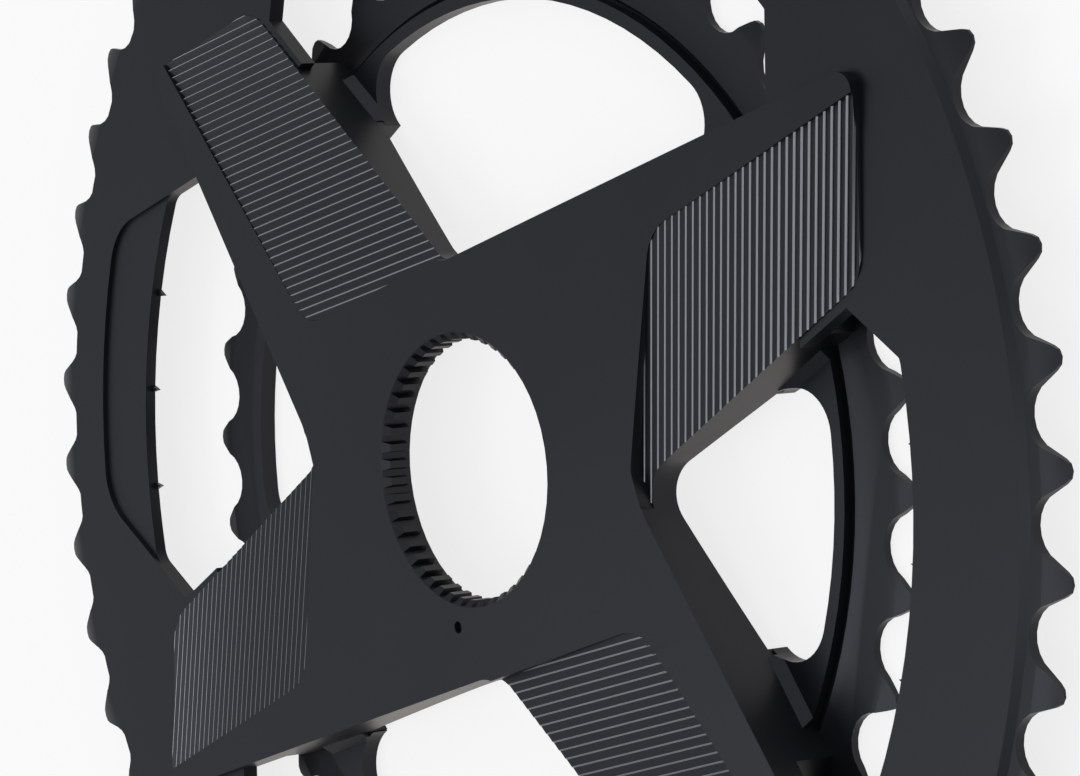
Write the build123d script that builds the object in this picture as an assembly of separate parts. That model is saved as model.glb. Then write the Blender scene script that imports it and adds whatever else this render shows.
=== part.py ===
from build123d import *
from math import asin, atan, ceil, cos, degrees, pi, radians, sin, sqrt, tan
import os

# A double chainring machined from one plate: a large and a small toothed ring on a
# four-arm spider that is dished forwards from the small ring to the large one.
# The part lies flat. Z is the bore axis, the outer face looks up, and Z = 0 is the
# back of the small ring. An arm's own frame has X running outwards along it.

# Chain and teeth.
CHAIN_PITCH = 12.7
ROLLER_SEAT_R = 4.2
FLANK_LEAN = 22.0
TIP_HALF_WIDTH = 1.42
TIP_ROUND_DROP = 1.0
SEAT_STEPS = 8
TIP_STEPS = 4

# Large ring.
BIG_TEETH = 52
BIG_TOOTH_AT = 3.6
BIG_TIP_RISE = 1.35
BIG_BACK_Z = 7.0
BIG_PLATE_T = 2.25
BIG_TOOTH_T = 1.4
BIG_TIP_T = 0.35
BIG_STEP_R = 100.0
BIG_RELIEF_R = 102.7
BIG_HOLE_R = 81.8
HOLE_CORNER_R = 3.0
SCOOP_R = 92.5
SCOOP_DEPTH = 0.6
SCOOP_CORNER_R = 9.0
CUSP_TIP_R = 80.3
CUSP_MIDDLE_AT = 175.8
CUSP_HALF_WIDTH = 0.8
CUSP_T = 0.6

# Small ring.
SMALL_TEETH = 36
SMALL_TOOTH_AT = 0.8
SMALL_TIP_RISE = 0.95
SMALL_PLATE_T = 1.1
SMALL_TIP_T = 0.6
SMALL_RELIEF_R = 71.3
RIB_IN_R = 61.2
RIB_OUT_R = 63.0
RIB_TOP_Z = 2.4
GROOVE_Z = 0.9
GROOVE_OUT_R = 63.4
LIP_R = 63.9
LIP_Z = 1.45
LIP_OUT_R = 65.3
WEB_CORNER_R = 6.0
WEB_IN_R = 53.2

# Hub and splined bore.
HUB_FACE_Z = 12.5
HUB_BACK_Z = 7.5
HUB_BACK_R = 29.5
SPLINES = 48
SPLINE_AT = 1.75
SPLINE_TIP_R = 17.1
SPLINE_ROOT_R = 17.95
SPLINE_TIP_SHARE = 0.42
SPLINE_ROOT_SHARE = 0.36
BORE_BEVEL = 0.9
BORE_LAND_R = 18.3
BORE_LAND_L = 1.2
MARK_R = 20.9
MARK_AT = 265.5
MARK_D = 1.6
MARK_DEPTH = 0.8

# Arms, in an arm's own frame.
ARM_ANGLES = (0.0, 110.0, 180.0, 290.0)
LEAD_EDGE_DIR = 17.9
LEAD_EDGE_OFF = 26.9
TRAIL_EDGE_DIR = 33.5
TRAIL_EDGE_OFF = 18.4
ARM_END_X = 74.3
LEAD_CORNER_R = 2.5
TRAIL_CORNER_R = 6.0
HUB_CORNER_R = 5.0
FACE_FALL = 0.024
FOOT_IN_R = 53.0
FOOT_BACK_Z = 3.0
FOOT_OUT_R = 66.9
ARM_FAR_R = 95.0
FOOT_BEVEL = 1.2
FOOT_BEVEL_IN_R = 54.0
HOLE_SIDE_X = 57.5
GUSSET = ((71.4, 23.7), (80.4, 18.2))

# Ribbed facet on each arm.
FACET_AT = (72.0, 48.0)
FACET_AT_Z = 10.58
FACET_SLOPE_X = -0.057
FACET_SLOPE_Y = 0.049
STRIP_EDGE = ((40.3, 33.0), (80.0, 51.7))
FACET_CORNER_R = 6.0
FACET_INNER_EDGE = {
    0.0: ((38.2, 32.0), (34.25, 2.2), (36.0, -2.2)),
    110.0: ((28.3, 27.3), (27.3, -6.0)),
    180.0: ((38.2, 32.0), (34.25, 2.2), (36.0, -2.2)),
    290.0: ((28.3, 27.3), (27.3, -6.0)),
}
FLUTE_PITCH = 1.235
FLUTE_FIRST_X = 28.0
FLUTE_DEPTH_IN = 0.09
FLUTE_DEPTH_OUT = 0.34
RISER_RUN = 0.5
FACET_RUN_OUT = 12.0
FLUTE_LEAN = 4.6
FLUTE_LAST_X = 73.2

CLEAR = 1.0
SLIVER = 0.02
FAR = 200.0


def pitch_radius(teeth):
    return CHAIN_PITCH / (2 * sin(pi / teeth))


def polar(r, deg):
    return (r * cos(radians(deg)), r * sin(radians(deg)))


def turned(p, deg):
    """A point of the frame that is turned by this angle, in the part's frame."""
    c, s = cos(radians(deg)), sin(radians(deg))
    return (p[0] * c - p[1] * s, p[0] * s + p[1] * c)


def revolved(points):
    """A solid of revolution about Z from (radius, z) points."""
    wire = Polyline(*[(r, 0, z) for r, z in points], close=True)
    return revolve(Face(Wire(wire.edges())), Axis.Z, 360)


def prism(points, z0, z1):
    face = make_face(Polyline(*points, close=True))
    return Pos(0, 0, z0) * extrude(face, z1 - z0)


def slab(face, z0, z1):
    return Pos(0, 0, z0) * extrude(face, z1 - z0)


def rounded(points, radii):
    """A face from corner points, each with a true arc of its own radius."""
    n = len(points)
    runs = []
    for k in range(n):
        p, q, s = Vector(*points[k - 1]), Vector(*points[k]), Vector(*points[(k + 1) % n])
        u, v = (p - q).normalized(), (s - q).normalized()
        half = radians(u.get_angle(v)) / 2
        back = radii[k] / tan(half)
        centre = q + (u + v).normalized() * (radii[k] / sin(half))
        middle = centre + (q - centre).normalized() * radii[k]
        runs.append((q + u * back, middle, q + v * back))
    edges = []
    for k in range(n):
        start, middle, end = runs[k]
        if radii[k] > 0:
            edges.append(Edge.make_three_point_arc(start, middle, end))
        following = runs[(k + 1) % n][0]
        if (following - end).length > SLIVER:
            edges.append(Edge.make_line(end, following))
    return Face(Wire(edges))


def solid_from(points, loops):
    """A closed solid with flat faces, each a loop of numbers into the points."""
    faces = [Face(Wire.make_polygon([points[k] for k in loop], close=True)) for loop in loops]
    return Solid(Shell(faces))


def faceted_cone(sides, first_at, flat_r0, z0, flat_r1, z1):
    """A cone with one flat side for each tooth or spline, sized across its flats."""
    to_corner = 1 / cos(pi / sides)
    points = []
    for flat_r, z in ((flat_r0, z0), (flat_r1, z1)):
        for k in range(sides):
            x, y = polar(flat_r * to_corner, first_at + (k + 0.5) * 360.0 / sides)
            points.append((x, y, z))
    loops = [list(range(sides))[::-1], list(range(sides, 2 * sides))]
    for k in range(sides):
        after = (k + 1) % sides
        loops.append([k, after, sides + after, sides + k])
    return solid_from(points, loops)


def edge_y(direction, offset, x):
    """Y at x on a line of this direction whose distance from the axis is offset."""
    return x * tan(radians(direction)) + offset / cos(radians(direction))


def lead_line(arm):
    """A point on an arm's leading edge, and the edge's direction."""
    return turned((0, edge_y(LEAD_EDGE_DIR, LEAD_EDGE_OFF, 0)), arm), LEAD_EDGE_DIR + arm


def trail_line(arm):
    return turned((0, edge_y(TRAIL_EDGE_DIR, -TRAIL_EDGE_OFF, 0)), arm), TRAIL_EDGE_DIR + arm


def crossing(line, other):
    """Where two lines cross, each given as a point and a direction."""
    (p, p_dir), (q, q_dir) = line, other
    px, py = polar(1, p_dir)
    qx, qy = polar(1, q_dir)
    along = ((q[0] - p[0]) * qy - (q[1] - p[1]) * qx) / (px * qy - py * qx)
    return (p[0] + px * along, p[1] + py * along)


def arm_after(arm):
    return ARM_ANGLES[(ARM_ANGLES.index(arm) + 1) % len(ARM_ANGLES)]


def window_corner(arm):
    """The hub's inner corner between an arm and the next one."""
    return crossing(lead_line(arm), trail_line(arm_after(arm)))


def on_circle(start, towards, radius):
    """Where a line from start through towards meets a circle about the bore axis."""
    dx, dy = towards[0] - start[0], towards[1] - start[1]
    length = sqrt(dx ** 2 + dy ** 2)
    dx, dy = dx / length, dy / length
    along = start[0] * dx + start[1] * dy
    aside = start[0] * dy - start[1] * dx
    reach = sqrt(radius ** 2 - aside ** 2) - along
    return (start[0] + dx * reach, start[1] + dy * reach)


def arc_points(centre_x, r, start, end, steps):
    """Points on an arc whose centre lies on X, both ends included."""
    angles = [start + (end - start) * k / steps for k in range(steps + 1)]
    return [(centre_x + r * cos(radians(a)), r * sin(radians(a))) for a in angles]


def gap_points(teeth, seat_r):
    """The roller seat of one gap that is centred on X, as short flats."""
    half = 90.0 - FLANK_LEAN
    return arc_points(pitch_radius(teeth), seat_r, 180 + half, 180 - half, SEAT_STEPS)


def toothed_prism(teeth, tooth_at, tip_rise, z0, z1):
    """Roller seats on the pitch circle, straight flanks and round tips."""
    tip_r = (TIP_ROUND_DROP ** 2 + TIP_HALF_WIDTH ** 2) / (2 * TIP_ROUND_DROP)
    tip_half = degrees(asin(TIP_HALF_WIDTH / tip_r))
    tip_centre = pitch_radius(teeth) + tip_rise - tip_r
    tip = arc_points(tip_centre, tip_r, -tip_half, tip_half, TIP_STEPS)
    step = 360.0 / teeth
    outline = []
    for k in range(teeth):
        angle = tooth_at + k * step
        outline += [turned(p, angle - step / 2) for p in gap_points(teeth, ROLLER_SEAT_R)]
        outline += [turned(p, angle) for p in tip]
    return prism(outline, z0, z1)


def big_hole(arm, radius, corner):
    """The gap in the large plate behind an arm, out to a radius."""
    after = arm_after(arm)
    side = turned((HOLE_SIDE_X, edge_y(LEAD_EDGE_DIR, LEAD_EDGE_OFF, HOLE_SIDE_X)), arm)
    side_far = turned((HOLE_SIDE_X, sqrt(radius ** 2 - HOLE_SIDE_X ** 2)), arm)
    gusset = turned(GUSSET[0], after)
    gusset_far = turned(on_circle(GUSSET[0], GUSSET[1], radius), after)
    middle = (side_far[0] + gusset_far[0], side_far[1] + gusset_far[1])
    middle = on_circle((0, 0), middle, radius)
    face = Face(Wire([
        Edge.make_line(window_corner(arm), side),
        Edge.make_line(side, side_far),
        Edge.make_three_point_arc(side_far, middle, gusset_far),
        Edge.make_line(gusset_far, gusset),
        Edge.make_line(gusset, window_corner(arm)),
    ]))
    far = [v for v in face.vertices() if abs(Vector(v.X, v.Y).length - radius) < SLIVER]
    return face.fillet_2d(corner, far)


def big_ring():
    """A turned blank crossed with the toothed outline, then holed and scooped."""
    plate_z = BIG_BACK_Z + BIG_PLATE_T
    tooth_z = BIG_BACK_Z + BIG_TOOTH_T
    inside = FOOT_OUT_R - CLEAR
    foot_r = BIG_STEP_R + BIG_PLATE_T - BIG_TOOTH_T
    tip_r = pitch_radius(BIG_TEETH) + BIG_TIP_RISE
    slope = (BIG_TOOTH_T - BIG_TIP_T) / (tip_r - BIG_RELIEF_R)
    back_r = tip_r + BIG_TIP_T / slope
    relief = faceted_cone(BIG_TEETH, BIG_TOOTH_AT, back_r, BIG_BACK_Z, BIG_RELIEF_R, tooth_z)
    teeth = relief & toothed_prism(BIG_TEETH, BIG_TOOTH_AT, BIG_TIP_RISE, BIG_BACK_Z, tooth_z)
    raised = revolved([
        (inside, BIG_BACK_Z + CLEAR),
        (foot_r + CLEAR / 5, BIG_BACK_Z + CLEAR),
        (foot_r, tooth_z),
        (BIG_STEP_R, plate_z),
        (inside, plate_z),
    ])
    ring = teeth + (raised & toothed_prism(BIG_TEETH, BIG_TOOTH_AT, BIG_TIP_RISE, BIG_BACK_Z, plate_z))
    ring -= Pos(0, 0, BIG_BACK_Z) * Cylinder(inside, 2 * BIG_PLATE_T)
    for arm in ARM_ANGLES:
        ring -= slab(big_hole(arm, BIG_HOLE_R, HOLE_CORNER_R), BIG_BACK_Z - CLEAR, plate_z + CLEAR)
        ring -= slab(big_hole(arm, SCOOP_R, SCOOP_CORNER_R), plate_z - SCOOP_DEPTH, plate_z + CLEAR)
    return ring


def cusps():
    """Points left on the hole's back edge in line with the small ring's gaps."""
    step = 360.0 / SMALL_TEETH
    half = degrees(atan(CUSP_HALF_WIDTH / BIG_HOLE_R))
    root_r = BIG_HOLE_R + CLEAR
    points = []
    for turn in (0, 180):
        for k in (-1, 0, 1):
            angle = CUSP_MIDDLE_AT + k * step + turn
            outline = [polar(root_r, angle - half), polar(CUSP_TIP_R, angle), polar(root_r, angle + half)]
            points.append(prism(outline, BIG_BACK_Z, BIG_BACK_Z + CUSP_T))
    return points


def web_hole(arm):
    """The opening between two arms inside the small ring."""
    corner = window_corner(arm)
    lead = (corner[0] + polar(1, LEAD_EDGE_DIR + arm)[0], corner[1] + polar(1, LEAD_EDGE_DIR + arm)[1])
    after = TRAIL_EDGE_DIR + arm_after(arm)
    trail = (corner[0] + polar(1, after)[0], corner[1] + polar(1, after)[1])
    start, end = on_circle(corner, lead, RIB_IN_R), on_circle(corner, trail, RIB_IN_R)
    middle = on_circle((0, 0), ((start[0] + end[0]) / 2, (start[1] + end[1]) / 2), RIB_IN_R)
    face = Face(Wire([
        Edge.make_line(corner, start),
        Edge.make_three_point_arc(start, middle, end),
        Edge.make_line(end, corner),
    ]))
    far = [v for v in face.vertices() if abs(Vector(v.X, v.Y).length - RIB_IN_R) < SLIVER]
    return face.fillet_2d(WEB_CORNER_R, far)


def small_ring():
    """Toothed plate with a low lip, a groove, and a raised rib round its inside."""
    tip_r = pitch_radius(SMALL_TEETH) + SMALL_TIP_RISE
    slope = (SMALL_PLATE_T - SMALL_TIP_T) / (tip_r - SMALL_RELIEF_R)
    back_r = tip_r + SMALL_TIP_T / slope
    relief = faceted_cone(SMALL_TEETH, SMALL_TOOTH_AT, back_r, 0, SMALL_RELIEF_R, SMALL_PLATE_T)
    ring = relief & toothed_prism(SMALL_TEETH, SMALL_TOOTH_AT, SMALL_TIP_RISE, 0, SMALL_PLATE_T)
    ring -= Cylinder(LIP_OUT_R, 3 * SMALL_PLATE_T)
    rim = revolved([
        (WEB_IN_R, 0),
        (LIP_OUT_R, 0),
        (LIP_OUT_R, SMALL_PLATE_T),
        (LIP_R, LIP_Z),
        (GROOVE_OUT_R, GROOVE_Z),
        (RIB_OUT_R, GROOVE_Z),
        (RIB_OUT_R, RIB_TOP_Z),
        (WEB_IN_R, RIB_TOP_Z),
    ])
    for arm in ARM_ANGLES:
        rim -= slab(web_hole(arm), -CLEAR, RIB_TOP_Z + CLEAR)
    return ring + rim


def front_z(r):
    """Height of the shallow cone that the whole front is turned to."""
    return HUB_FACE_Z - FACE_FALL * (r - SPLINE_ROOT_R)


def spider():
    """Hub and arms: one outline from the front crossed with one turned section."""
    corners, radii = [], []
    for arm in ARM_ANGLES:
        trail_y = edge_y(TRAIL_EDGE_DIR, -TRAIL_EDGE_OFF, ARM_END_X)
        lead_y = edge_y(LEAD_EDGE_DIR, LEAD_EDGE_OFF, ARM_END_X)
        corners += [turned((ARM_END_X, trail_y), arm), turned((ARM_END_X, lead_y), arm), window_corner(arm)]
        radii += [TRAIL_CORNER_R, LEAD_CORNER_R, HUB_CORNER_R]
    outline = slab(rounded(corners, radii), -CLEAR, HUB_FACE_Z + CLEAR)
    inside = SPLINE_TIP_R - CLEAR
    section = revolved([
        (inside, front_z(inside)),
        (ARM_FAR_R, front_z(ARM_FAR_R)),
        (ARM_FAR_R, BIG_BACK_Z),
        (FOOT_OUT_R, BIG_BACK_Z),
        (FOOT_OUT_R, 0),
        (FOOT_IN_R, 0),
        (FOOT_IN_R, FOOT_BACK_Z),
        (HUB_BACK_R, HUB_BACK_Z),
        (inside, HUB_BACK_Z),
    ])
    return section & outline


def foot_bevels():
    """The sloping ledge where each arm's side runs down on to the small ring."""
    lane = []
    base = RIB_TOP_Z - FOOT_BEVEL / 2
    top = RIB_TOP_Z + FOOT_BEVEL
    for direction, offset, side in ((LEAD_EDGE_DIR, LEAD_EDGE_OFF, 1), (TRAIL_EDGE_DIR, -TRAIL_EDGE_OFF, -1)):
        start = sqrt(FOOT_BEVEL_IN_R ** 2 - offset ** 2)
        end = sqrt(RIB_OUT_R ** 2 - offset ** 2)
        out = side * FOOT_BEVEL
        section = [
            (start, offset - out, base),
            (start, offset + out, base),
            (start, offset + out, RIB_TOP_Z),
            (start, offset, top),
            (start, offset - out, top),
        ]
        face = Face(Wire.make_polygon(section, close=True))
        lane.append(Rot(0, 0, direction) * extrude(face, end - start, dir=(1, 0, 0)))
    web = Cylinder(RIB_OUT_R, 4 * RIB_TOP_Z) - Cylinder(WEB_IN_R, 4 * RIB_TOP_Z)
    for arm in ARM_ANGLES:
        web -= slab(web_hole(arm), -3 * RIB_TOP_Z, 3 * RIB_TOP_Z)
    return [web & (Rot(0, 0, arm) * one) for arm in ARM_ANGLES for one in lane]


def facet_z(x, y):
    """Height of the sloping facet's crests in the arm's frame."""
    return FACET_AT_Z + FACET_SLOPE_X * (x - FACET_AT[0]) + FACET_SLOPE_Y * (y - FACET_AT[1])


def facet_cutter(arm):
    """What the fluted facet takes off an arm: saw-tooth flutes with the crests hubwards."""
    lean = tan(radians(FLUTE_LEAN))
    last_x = FLUTE_LAST_X - lean * FACET_AT[1]
    count = ceil((FLUTE_LAST_X - FLUTE_FIRST_X) / FLUTE_PITCH) + 3
    profile = []
    for k in range(-count, 4):
        x = last_x + k * FLUTE_PITCH
        share = max(0.0, (x + lean * FACET_AT[1] - FLUTE_FIRST_X) / (ARM_END_X - FLUTE_FIRST_X))
        depth = FLUTE_DEPTH_IN + (FLUTE_DEPTH_OUT - FLUTE_DEPTH_IN) * share ** 2
        profile.append((x, 0, facet_z(x, 0)))
        low_x = x + RISER_RUN * depth
        profile.append((low_x, 0, facet_z(low_x, 0) - depth))
    above = HUB_FACE_Z + 10 * CLEAR
    profile.append((profile[-1][0], 0, above))
    profile.append((profile[0][0], 0, above))
    along = Vector(lean, 1, FACET_SLOPE_Y + FACET_SLOPE_X * lean)
    face = Face(Wire.make_polygon(profile, close=True))
    flutes = extrude(face, along.length * FAR / 2, dir=along.normalized(), both=True)

    outer_x = ARM_END_X + 5 * CLEAR
    (strip_x, strip_y), (end_x, end_y) = STRIP_EDGE
    outer_y = end_y + (outer_x - end_x) * (end_y - strip_y) / (end_x - strip_x)
    inner = FACET_INNER_EDGE[arm]
    low_y = inner[-1][1] - FACET_RUN_OUT
    corners = [*inner, (inner[-1][0] + FACET_RUN_OUT, low_y), (outer_x, low_y), (outer_x, outer_y)]
    radii = [FACET_CORNER_R, *[FACET_CORNER_R / 2] * (len(inner) - 1), CLEAR, CLEAR, CLEAR]
    pocket = slab(rounded(corners, radii), BIG_BACK_Z + BIG_PLATE_T + SLIVER, HUB_FACE_Z + CLEAR)
    return Rot(0, 0, arm) * (flutes & pocket)


def bore_cutter():
    """Splined bore, a bevel on its front and a plain land at its back."""
    step = 360.0 / SPLINES
    outline = []
    for k in range(SPLINES):
        angle = SPLINE_AT + k * step
        outline += [polar(SPLINE_TIP_R, angle + side * step * SPLINE_TIP_SHARE / 2) for side in (-1, 1)]
        gap = angle + step / 2
        outline += [polar(SPLINE_ROOT_R, gap + side * step * SPLINE_ROOT_SHARE / 2) for side in (-1, 1)]
    splines = prism(outline, HUB_BACK_Z, HUB_FACE_Z + CLEAR)
    low_z, top_z = HUB_FACE_Z - BORE_BEVEL, HUB_FACE_Z + CLEAR
    bevel = faceted_cone(SPLINES, SPLINE_AT, SPLINE_TIP_R, low_z, SPLINE_TIP_R + top_z - low_z, top_z)
    land = Pos(0, 0, HUB_BACK_Z) * Cylinder(BORE_LAND_R, 2 * BORE_LAND_L)
    return [splines, bevel, land]


body = big_ring() + spider()
body += cusps()
body += small_ring()
body += foot_bevels()
for arm in ARM_ANGLES:
    body -= facet_cutter(arm)
body -= bore_cutter()
mark = polar(MARK_R, MARK_AT)
body -= Pos(mark[0], mark[1], HUB_FACE_Z) * Cylinder(MARK_D / 2, 2 * MARK_DEPTH)
os.makedirs("parts", exist_ok=True)
export_step(body, "parts/double_chainring.step")
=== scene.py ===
import math

import bmesh
import bpy
from mathutils import Matrix, Vector


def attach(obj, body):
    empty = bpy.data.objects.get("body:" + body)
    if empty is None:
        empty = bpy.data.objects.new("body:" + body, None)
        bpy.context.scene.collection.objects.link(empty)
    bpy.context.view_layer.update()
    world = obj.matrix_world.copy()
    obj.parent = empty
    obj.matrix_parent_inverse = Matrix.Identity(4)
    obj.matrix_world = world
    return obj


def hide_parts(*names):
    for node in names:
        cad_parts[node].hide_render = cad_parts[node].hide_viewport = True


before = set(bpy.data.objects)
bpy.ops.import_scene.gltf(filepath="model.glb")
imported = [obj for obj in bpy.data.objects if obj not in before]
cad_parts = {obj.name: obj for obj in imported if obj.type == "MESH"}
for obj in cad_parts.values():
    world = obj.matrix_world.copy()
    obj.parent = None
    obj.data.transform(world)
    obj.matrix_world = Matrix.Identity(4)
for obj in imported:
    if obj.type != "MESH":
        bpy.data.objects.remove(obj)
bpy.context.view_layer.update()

# The double chainring, one piece: aluminium plate, turned and milled all over, bead
# blasted, then anodised black. Its sharp edges are lightly broken. The crests of the
# flutes on the four arms carry a painted highlight, a light grey in their colour, which
# gives the fine light lines there.
MM = 0.001
EDGE_BREAK = 0.10 * MM
EDGE_ANGLE = math.radians(33.0)
MERGE_GAP = 0.002 * MM
FLAT_ANGLE = math.radians(0.3)

# The skin's colours and gloss. A blast grain is usually about 0.1 mm, too fine to show,
# so it is drawn coarser, as BLAST_GRAIN.
ANODISED_BLACK = "#26282C"
ANODISED_BLACK_WORN = "#2A2C30"
METAL_SHARE = 0.8
ROUGH_LOW = 0.34
ROUGH_HIGH = 0.42
CLOUD_SIZE = 25 * MM
BLAST_GRAIN = 0.35 * MM
BLAST_DEPTH = 0.02 * MM
BLAST_STRENGTH = 0.12

# The flutes, in mm in an arm's own frame, as the solid has them. Each crest has a painted
# highlight from a little before it, on the hub's side, to a little after it, down the flute's step.
# WHOLE_FLUTES only keeps the count of flutes above 0 on the facets.
# The light grey of the painted highlight on the flute crests.
CREST_HIGHLIGHT = "#8A8C90"
HIGHLIGHT_BEFORE = 0.08
HIGHLIGHT_AFTER = 0.12
ARMS = (0.0, 110.0, 180.0, 290.0)
FLUTE_PITCH = 1.235
FLUTE_LEAN = math.tan(math.radians(4.6))
LAST_CREST_X = 73.2
LAST_CREST_Y = 48.0
WHOLE_FLUTES = 100.0

# Where the facets lie: the turn in degrees from an arm to its facet, the height that they
# stay above, and their reach from the axis. Their faces lean, so the upward share of a
# face's normal is over STEP_UP on a flute's step and under TREAD_UP on its tread.
FACET_AZIMUTH = 33.7
FACET_LOW_Z = 9.27 * MM
FACET_IN_R = 26.0 * MM
FACET_OUT_R = 95.0 * MM
STEP_UP = 0.3
TREAD_UP = 0.999


def linear(hex_colour):
    """An sRGB hex colour as the linear colour that the shader takes."""
    parts = [int(hex_colour[i:i + 2], 16) / 255 for i in (1, 3, 5)]
    line = [c / 12.92 if c <= 0.04045 else ((c + 0.055) / 1.055) ** 2.4 for c in parts]
    return (*line, 1.0)


def add_node(tree, kind, settings=(), inputs=(), links=()):
    """A node with its settings, its socket values and what feeds its sockets."""
    node = tree.nodes.new(kind)
    for key, value in dict(settings).items():
        setattr(node, key, value)
    for key, value in dict(inputs).items():
        node.inputs[key].default_value = value
    for key, source in dict(links).items():
        tree.links.new(source, node.inputs[key])
    return node


def painted_crest_mask(tree, where, arm):
    """1 on the crests of an arm's flutes, where the light grey of the painted highlight goes."""
    turn = math.radians(arm)
    along_x = math.cos(turn) + FLUTE_LEAN * math.sin(turn)
    along_y = math.sin(turn) - FLUTE_LEAN * math.cos(turn)
    across = [c / (FLUTE_PITCH * MM) for c in (along_x, along_y, 0.0)]
    flutes = add_node(tree, "ShaderNodeVectorMath", {"operation": "DOT_PRODUCT"}, links={0: where})
    flutes.inputs[1].default_value = across
    first = (HIGHLIGHT_BEFORE - LAST_CREST_X + FLUTE_LEAN * LAST_CREST_Y) / FLUTE_PITCH + WHOLE_FLUTES
    count = add_node(tree, "ShaderNodeMath", {"operation": "ADD"},
                     inputs={1: first}, links={0: flutes.outputs["Value"]})
    share = add_node(tree, "ShaderNodeMath", {"operation": "FRACT"}, links={0: count.outputs[0]})
    # The painted highlight covers this share of each flute, around its crest.
    crest_highlight = add_node(tree, "ShaderNodeMath", {"operation": "LESS_THAN"},
                    inputs={1: (HIGHLIGHT_BEFORE + HIGHLIGHT_AFTER) / FLUTE_PITCH},
                    links={0: share.outputs[0]})
    return crest_highlight.outputs[0]


# Black anodised aluminium, bead blasted: a dark dyed oxide skin over metal, so it is
# nearly black where it faces nothing and takes a broad soft sheen towards the light.
def anodised_aluminium_blasted(name, arm=None):
    """The skin, and for an arm's facet the painted highlights on its flute crests as well."""
    material = bpy.data.materials.new(name)
    material.use_nodes = True
    tree = material.node_tree
    tree.nodes.clear()
    where = add_node(tree, "ShaderNodeTexCoord").outputs["Object"]
    grain = add_node(tree, "ShaderNodeTexNoise",
                     inputs={"Scale": 1.0 / BLAST_GRAIN, "Detail": 2.0, "Roughness": 0.6},
                     links={"Vector": where}).outputs["Fac"]
    cloud = add_node(tree, "ShaderNodeTexNoise",
                     inputs={"Scale": 1.0 / CLOUD_SIZE, "Detail": 3.0},
                     links={"Vector": where}).outputs["Fac"]
    skin = add_node(tree, "ShaderNodeMix", {"data_type": "RGBA"}, links={"Factor": cloud})
    skin.inputs["A"].default_value = linear(ANODISED_BLACK)
    skin.inputs["B"].default_value = linear(ANODISED_BLACK_WORN)
    shown = skin.outputs["Result"]
    if arm is not None:
        # On an arm's facet, the painted highlight is mixed over the flute crests.
        highlighted = add_node(tree, "ShaderNodeMix", {"data_type": "RGBA"},
                       links={"Factor": painted_crest_mask(tree, where, arm), "A": shown})
        highlighted.inputs["B"].default_value = linear(CREST_HIGHLIGHT)
        shown = highlighted.outputs["Result"]
    rough = add_node(tree, "ShaderNodeMapRange",
                     inputs={"To Min": ROUGH_LOW, "To Max": ROUGH_HIGH},
                     links={"Value": cloud}).outputs["Result"]
    bump = add_node(tree, "ShaderNodeBump",
                    inputs={"Strength": BLAST_STRENGTH, "Distance": BLAST_DEPTH},
                    links={"Height": grain}).outputs["Normal"]
    shader = add_node(tree, "ShaderNodeBsdfPrincipled",
                      inputs={"Metallic": METAL_SHARE},
                      links={"Base Color": shown, "Roughness": rough, "Normal": bump})
    add_node(tree, "ShaderNodeOutputMaterial", links={"Surface": shader.outputs["BSDF"]})
    return material


def finish_of(face):
    """The number of a face's finish: 0, or 1 more than its arm's where it is fluted."""
    middle = face.calc_center_median()
    reach = math.hypot(middle.x, middle.y)
    fluted = middle.z > FACET_LOW_Z and FACET_IN_R < reach < FACET_OUT_R
    if not (fluted and STEP_UP < face.normal.z < TREAD_UP):
        return 0
    azimuth = math.degrees(math.atan2(middle.y, middle.x)) - FACET_AZIMUTH
    aside = [abs((azimuth - arm + 180.0) % 360.0 - 180.0) for arm in ARMS]
    return 1 + aside.index(min(aside))


def edge_broken_copy(node, name, finishes):
    """The CAD solid as one welded mesh with its sharp edges broken."""
    mesh = node.data.copy()
    mesh.name = name
    mesh.materials.clear()
    for finish in finishes:
        mesh.materials.append(finish)
    work = bmesh.new()
    work.from_mesh(mesh)
    bmesh.ops.remove_doubles(work, verts=work.verts, dist=MERGE_GAP)
    bmesh.ops.dissolve_limit(work, angle_limit=FLAT_ANGLE, verts=work.verts, edges=work.edges)
    for face in work.faces:
        face.smooth = True
        face.material_index = finish_of(face)
    for edge in work.edges:
        edge.smooth = len(edge.link_faces) == 2 and edge.calc_face_angle(0.0) < EDGE_ANGLE
    work.to_mesh(mesh)
    work.free()
    copy = bpy.data.objects.new(name, mesh)
    bpy.context.scene.collection.objects.link(copy)
    bevel = copy.modifiers.new("edge break", "BEVEL")
    bevel.width = EDGE_BREAK
    bevel.segments = 1
    bevel.limit_method = "ANGLE"
    bevel.angle_limit = EDGE_ANGLE
    bevel.harden_normals = True
    bpy.context.view_layer.update()
    bevelled = copy.evaluated_get(bpy.context.evaluated_depsgraph_get())
    finished = bpy.data.meshes.new_from_object(bevelled)
    copy.modifiers.clear()
    copy.data = finished
    return copy


finishes = [anodised_aluminium_blasted("anodised aluminium, bead blasted")]
# Each arm's facet gets its own material, with the painted highlight on its crests.
for arm in ARMS:
    title = f"anodised aluminium, crests cut bare, arm at {arm:.0f}"
    finishes.append(anodised_aluminium_blasted(title, arm))
ring = edge_broken_copy(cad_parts["double_chainring"], "chainring_broken_edges", finishes)
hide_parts("double_chainring")
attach(ring, "root")

# The white paper that the ring lies on, pale and matt, with the ring's own soft shadow.
# It glows white to the camera, and faintly warm where the metal reflects it.
FLOOR_HALF = 3.0
FLOOR_Z = -0.2 * MM
PAPER_WHITE = "#F4F4F4"
PAPER_SEEN = "#FFFFFF"
PAPER_WARM = "#FFF8F2"
PAPER_GLOW = 0.8


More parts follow.
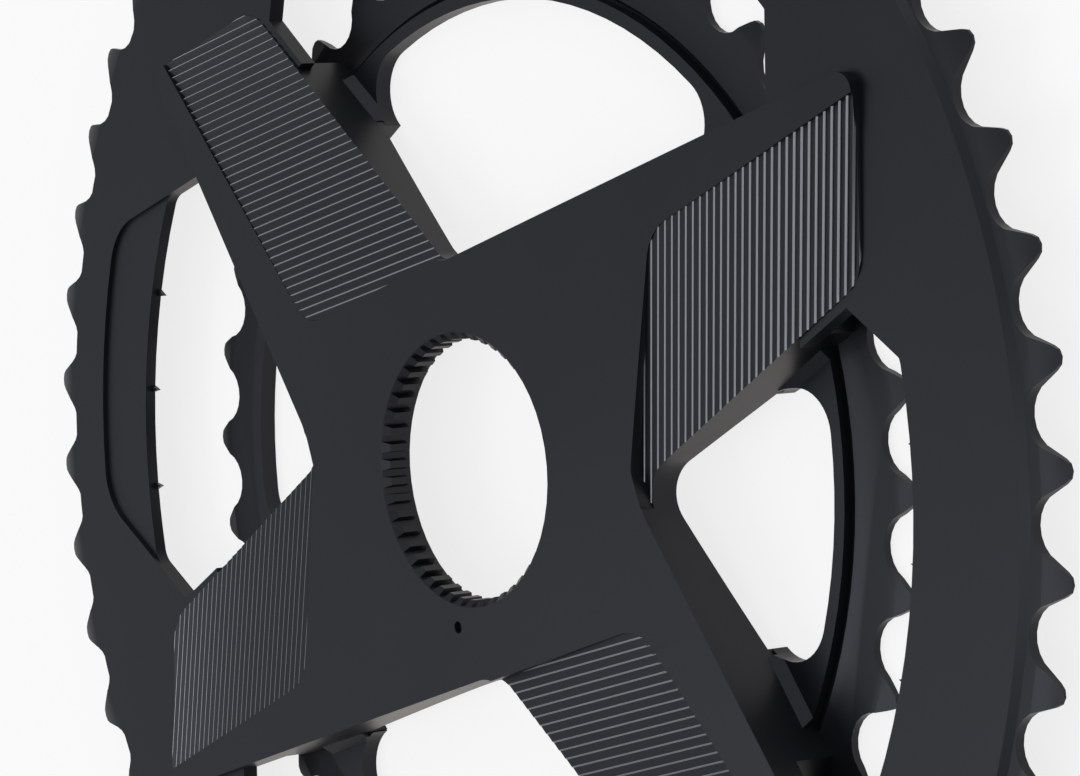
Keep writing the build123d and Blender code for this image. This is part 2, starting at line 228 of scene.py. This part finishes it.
def white_paper():
    """Matt paper that glows for the camera and for reflections, so that it stays white."""
    material = bpy.data.materials.new("paper, matt white")
    material.use_nodes = True
    tree = material.node_tree
    tree.nodes.clear()
    ray = add_node(tree, "ShaderNodeLightPath")
    direct = add_node(tree, "ShaderNodeMath", {"operation": "MAXIMUM"},
                      links={0: ray.outputs["Is Camera Ray"], 1: ray.outputs["Is Transmission Ray"]})
    seen = add_node(tree, "ShaderNodeMath", {"operation": "MAXIMUM"},
                    links={0: direct.outputs[0], 1: ray.outputs["Is Glossy Ray"]})
    share = add_node(tree, "ShaderNodeMath", {"operation": "MULTIPLY"},
                     inputs={1: PAPER_GLOW}, links={0: seen.outputs[0]})
    tint = add_node(tree, "ShaderNodeMix", {"data_type": "RGBA"},
                    links={"Factor": ray.outputs["Is Glossy Ray"]})
    tint.inputs["A"].default_value = linear(PAPER_SEEN)
    tint.inputs["B"].default_value = linear(PAPER_WARM)
    matt = add_node(tree, "ShaderNodeBsdfDiffuse", inputs={"Color": linear(PAPER_WHITE)})
    glow = add_node(tree, "ShaderNodeEmission",
                    inputs={"Strength": 1.0}, links={"Color": tint.outputs["Result"]})
    paper = add_node(tree, "ShaderNodeMixShader",
                     links={0: share.outputs[0], 1: matt.outputs["BSDF"], 2: glow.outputs["Emission"]})
    add_node(tree, "ShaderNodeOutputMaterial", links={"Surface": paper.outputs["Shader"]})
    return material


floor_mesh = bpy.data.meshes.new("floor")
sides = ((-1, -1), (1, -1), (1, 1), (-1, 1))
corners = [(x * FLOOR_HALF, y * FLOOR_HALF, FLOOR_Z) for x, y in sides]
floor_mesh.from_pydata(corners, [], [(0, 1, 2, 3)])
floor_mesh.materials.append(white_paper())
floor = bpy.data.objects.new("floor", floor_mesh)
bpy.context.scene.collection.objects.link(floor)

# The room: an even, slightly cool light from all round, which the camera sees as white.
ROOM_COOL = "#F5F8FF"
ROOM_SEEN = "#FFFFFF"
ROOM_LIGHT = 0.55

world = bpy.data.worlds.new("studio")
bpy.context.scene.world = world
world.use_nodes = True
world.node_tree.nodes.clear()
ray = add_node(world.node_tree, "ShaderNodeLightPath")
lit = add_node(world.node_tree, "ShaderNodeBackground",
               inputs={"Color": linear(ROOM_COOL), "Strength": ROOM_LIGHT})
seen = add_node(world.node_tree, "ShaderNodeBackground",
                inputs={"Color": linear(ROOM_SEEN), "Strength": 1.0})
mix = add_node(world.node_tree, "ShaderNodeMixShader",
               links={0: ray.outputs["Is Camera Ray"],
                      1: lit.outputs["Background"], 2: seen.outputs["Background"]})
add_node(world.node_tree, "ShaderNodeOutputWorld", links={"Surface": mix.outputs["Shader"]})


# The lamps: four square softboxes, all aimed at the middle of the ring.
def softbox(name, towards, distance, size, power):
    """A lamp aimed at the part from that direction, in metres and watts."""
    lamp = bpy.data.lights.new(name, "AREA")
    lamp.shape = "SQUARE"
    lamp.size = size
    lamp.energy = power
    place = Vector(towards).normalized() * distance
    obj = bpy.data.objects.new(name, lamp)
    obj.location = place
    obj.rotation_euler = place.to_track_quat("Z", "Y").to_euler()
    bpy.context.scene.collection.objects.link(obj)
    return obj


softbox("overhead", (-0.42, -0.28, 0.86), distance=2.4, size=1.2, power=11.0)
softbox("front", (0.94, -0.20, 0.22), distance=2.0, size=0.8, power=2.5)
softbox("fill", (0.60, -0.10, 0.79), distance=2.0, size=1.0, power=5.0)
softbox("far side", (0.15, 0.95, 0.27), distance=2.0, size=0.8, power=12.0)

# The camera, 38 degrees above the ring's face and rolled as the photograph is.
PHOTO_WIDTH = 1080
FOCAL_PIXELS = 4264.9
SENSOR = 36.0
EYE_AT = (0.4427, 0.0557, 0.3441)
RIGHT = (0.6155, -0.0187, -0.7879)
AHEAD = (-0.7864, -0.0814, -0.6124)

camera = bpy.data.cameras.new("camera")
camera.sensor_width = SENSOR
camera.lens = FOCAL_PIXELS * SENSOR / PHOTO_WIDTH
eye = bpy.data.objects.new("camera", camera)
bpy.context.scene.collection.objects.link(eye)
right = Vector(RIGHT).normalized()
ahead = Vector(AHEAD).normalized()
up = right.cross(ahead)
eye.matrix_world = Matrix((
    (right.x, up.x, -ahead.x, EYE_AT[0]),
    (right.y, up.y, -ahead.y, EYE_AT[1]),
    (right.z, up.z, -ahead.z, EYE_AT[2]),
    (0, 0, 0, 1),
))
bpy.context.scene.camera = eye

bpy.context.scene.view_settings.view_transform = "Standard"
